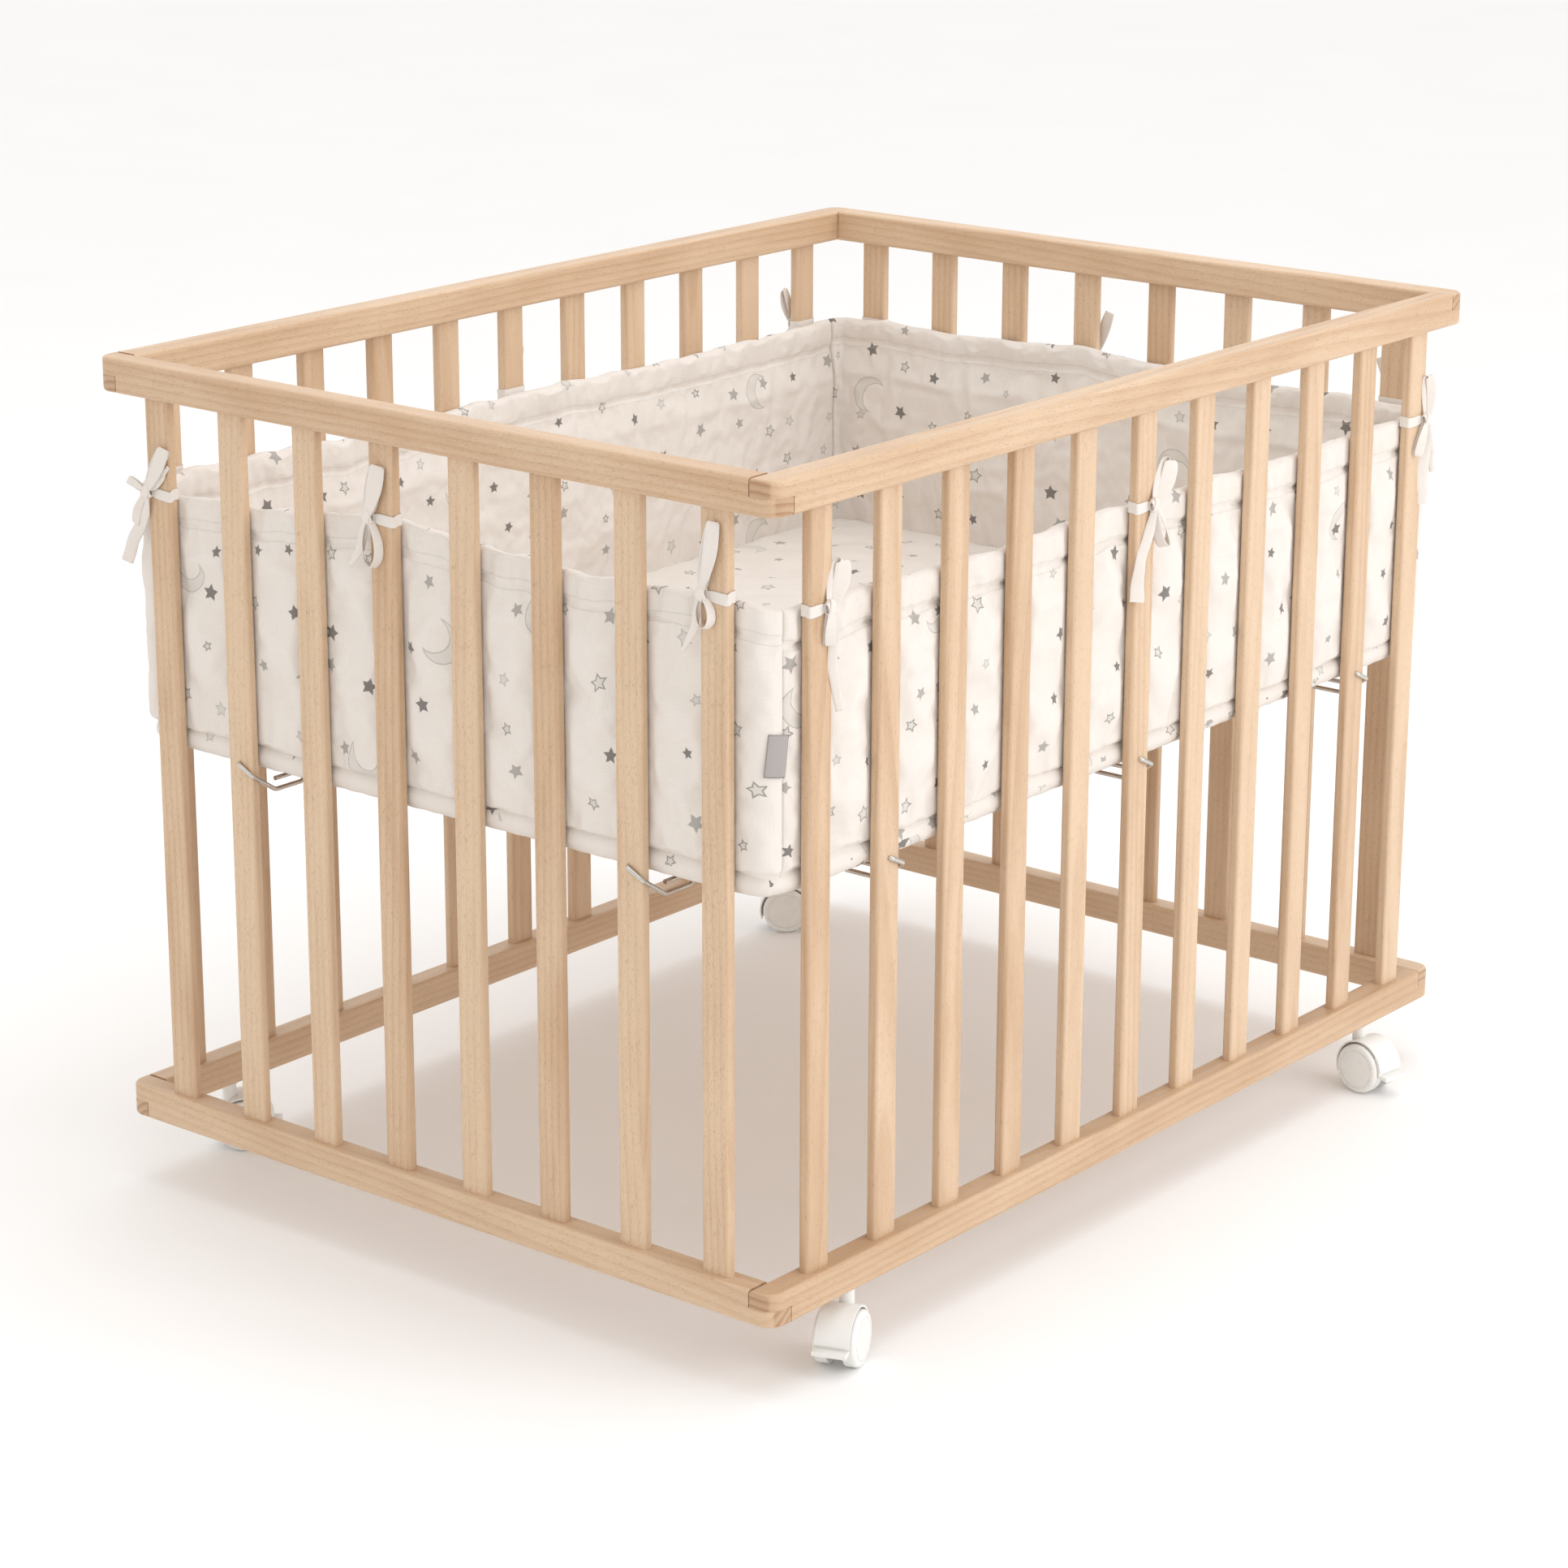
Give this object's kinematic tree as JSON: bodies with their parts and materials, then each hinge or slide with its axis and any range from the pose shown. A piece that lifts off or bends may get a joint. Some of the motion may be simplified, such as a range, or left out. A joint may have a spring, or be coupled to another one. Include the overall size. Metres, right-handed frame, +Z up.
{
  "type": "playpen",
  "caption": "Rectangular wooden playpen on swivel casters, with slatted sides, a raised floor on wire hooks and a padded cotton insert tied to the slats.",
  "frame": {"origin": "on the ground, straight under the centre of the whole pen's box, casters included; the timber frame's centre is 14.4 mm behind it, because the front casters reach further out", "axes": "+X along the long sides, +Y from the front long side to the back one, +Z up"},
  "size_m": [1.02, 0.7966, 0.759],
  "materials": {
    "beech": "satin clear lacquer",
    "dowel_beech": "bare",
    "hook_wire": "zinc plated wire",
    "white_nylon": "moulded satin",
    "white_tread": "smooth",
    "steel": "zinc plated",
    "printed_cotton": "plain weave with a small star and moon print",
    "cotton_tape": "flat tape",
    "woven_label": "blank woven label",
    "floor_board": "smooth board"
  },
  "bodies": {
    "frame": {"bottom_rail_front": "beech", "bottom_rail_right": "beech", "bottom_rail_back": "beech", "bottom_rail_left": "beech", "top_rail_front": "beech", "top_rail_right": "beech", "top_rail_back": "beech", "top_rail_left": "beech", "slats_front": "beech", "slats_right": "beech", "slats_back": "beech", "slats_left": "beech", "corner_dowels": "dowel_beech", "hooks_front": "hook_wire", "hooks_right": "hook_wire", "hooks_back": "hook_wire", "hooks_left": "hook_wire", "caster_front_left_socket": "white_nylon", "caster_front_right_socket": "white_nylon", "caster_back_left_socket": "white_nylon", "caster_back_right_socket": "white_nylon", "insert_wall_front": "printed_cotton", "insert_wall_right": "printed_cotton", "insert_wall_back": "printed_cotton", "insert_wall_left": "printed_cotton", "insert_label": "woven_label", "ties_front": "cotton_tape", "ties_right": "cotton_tape", "ties_back": "cotton_tape", "ties_left": "cotton_tape"},
    "floor": {"floor_board": "floor_board", "floor_pad": "printed_cotton"},
    "caster_front_left_swivel": {"caster_front_left_housing": "white_nylon", "caster_front_left_stem": "steel", "caster_front_left_axle": "steel"},
    "caster_front_left_wheel_a_body": {"caster_front_left_wheel_a": "white_tread"},
    "caster_front_left_wheel_b_body": {"caster_front_left_wheel_b": "white_tread"},
    "caster_front_left_brake": {"caster_front_left_brake_pedal": "white_nylon"},
    "caster_front_right_swivel": {"caster_front_right_housing": "white_nylon", "caster_front_right_stem": "steel", "caster_front_right_axle": "steel"},
    "caster_front_right_wheel_a_body": {"caster_front_right_wheel_a": "white_tread"},
    "caster_front_right_wheel_b_body": {"caster_front_right_wheel_b": "white_tread"},
    "caster_front_right_brake": {"caster_front_right_brake_pedal": "white_nylon"},
    "caster_back_left_swivel": {"caster_back_left_housing": "white_nylon", "caster_back_left_stem": "steel", "caster_back_left_axle": "steel"},
    "caster_back_left_wheel_a_body": {"caster_back_left_wheel_a": "white_tread"},
    "caster_back_left_wheel_b_body": {"caster_back_left_wheel_b": "white_tread"},
    "caster_back_left_brake": {"caster_back_left_brake_pedal": "white_nylon"},
    "caster_back_right_swivel": {"caster_back_right_housing": "white_nylon", "caster_back_right_stem": "steel", "caster_back_right_axle": "steel"},
    "caster_back_right_wheel_a_body": {"caster_back_right_wheel_a": "white_tread"},
    "caster_back_right_wheel_b_body": {"caster_back_right_wheel_b": "white_tread"},
    "caster_back_right_brake": {"caster_back_right_brake_pedal": "white_nylon"}
  },
  "joints": [
    {"name": "floor_lift", "type": "slide", "parent": "frame", "child": "floor", "axis": [0, 0, 1], "range_m": [0, 0.1], "deforming": ["insert_wall_front", "insert_wall_right", "insert_wall_back", "insert_wall_left"]},
    {"name": "caster_front_left_swivel_turn", "type": "hinge", "parent": "frame", "child": "caster_front_left_swivel", "pos_m": [-0.39825, -0.3486, 0.064], "axis": [0, 0, 1], "continuous": true},
    {"name": "caster_front_left_wheel_a_spin", "type": "hinge", "parent": "caster_front_left_swivel", "child": "caster_front_left_wheel_a_body", "pos_m": [-0.41047, -0.35305, 0.024], "axis": [0.342, -0.9397, 0], "continuous": true},
    {"name": "caster_front_left_wheel_b_spin", "type": "hinge", "parent": "caster_front_left_swivel", "child": "caster_front_left_wheel_b_body", "pos_m": [-0.41047, -0.35305, 0.024], "axis": [0.342, -0.9397, 0], "continuous": true},
    {"name": "caster_front_left_brake_press", "type": "hinge", "parent": "caster_front_left_swivel", "child": "caster_front_left_brake", "pos_m": [-0.41047, -0.35305, 0.024], "axis": [0.342, -0.9397, 0], "range_deg": [0, 16]},
    {"name": "caster_front_right_swivel_turn", "type": "hinge", "parent": "frame", "child": "caster_front_right_swivel", "pos_m": [0.39825, -0.3486, 0.064], "axis": [0, 0, 1], "continuous": true},
    {"name": "caster_front_right_wheel_a_spin", "type": "hinge", "parent": "caster_front_right_swivel", "child": "caster_front_right_wheel_a_body", "pos_m": [0.39622, -0.36144, 0.024], "axis": [0.9877, -0.1564, 0], "continuous": true},
    {"name": "caster_front_right_wheel_b_spin", "type": "hinge", "parent": "caster_front_right_swivel", "child": "caster_front_right_wheel_b_body", "pos_m": [0.39622, -0.36144, 0.024], "axis": [0.9877, -0.1564, 0], "continuous": true},
    {"name": "caster_front_right_brake_press", "type": "hinge", "parent": "caster_front_right_swivel", "child": "caster_front_right_brake", "pos_m": [0.39622, -0.36144, 0.024], "axis": [0.9877, -0.1564, 0], "range_deg": [0, 16]},
    {"name": "caster_back_left_swivel_turn", "type": "hinge", "parent": "frame", "child": "caster_back_left_swivel", "pos_m": [-0.39825, 0.3774, 0.064], "axis": [0, 0, 1], "continuous": true},
    {"name": "caster_back_left_wheel_a_spin", "type": "hinge", "parent": "caster_back_left_swivel", "child": "caster_back_left_wheel_a_body", "pos_m": [-0.38874, 0.36853, 0.024], "axis": [0.682, 0.7314, 0], "continuous": true},
    {"name": "caster_back_left_wheel_b_spin", "type": "hinge", "parent": "caster_back_left_swivel", "child": "caster_back_left_wheel_b_body", "pos_m": [-0.38874, 0.36853, 0.024], "axis": [0.682, 0.7314, 0], "continuous": true},
    {"name": "caster_back_left_brake_press", "type": "hinge", "parent": "caster_back_left_swivel", "child": "caster_back_left_brake", "pos_m": [-0.38874, 0.36853, 0.024], "axis": [0.682, 0.7314, 0], "range_deg": [0, 16]},
    {"name": "caster_back_right_swivel_turn", "type": "hinge", "parent": "frame", "child": "caster_back_right_swivel", "pos_m": [0.39825, 0.3774, 0.064], "axis": [0, 0, 1], "continuous": true},
    {"name": "caster_back_right_wheel_a_spin", "type": "hinge", "parent": "caster_back_right_swivel", "child": "caster_back_right_wheel_a_body", "pos_m": [0.40643, 0.3673, 0.024], "axis": [0.7771, 0.6293, 0], "continuous": true},
    {"name": "caster_back_right_wheel_b_spin", "type": "hinge", "parent": "caster_back_right_swivel", "child": "caster_back_right_wheel_b_body", "pos_m": [0.40643, 0.3673, 0.024], "axis": [0.7771, 0.6293, 0], "continuous": true},
    {"name": "caster_back_right_brake_press", "type": "hinge", "parent": "caster_back_right_swivel", "child": "caster_back_right_brake", "pos_m": [0.40643, 0.3673, 0.024], "axis": [0.7771, 0.6293, 0], "range_deg": [0, 16]}
  ]
}
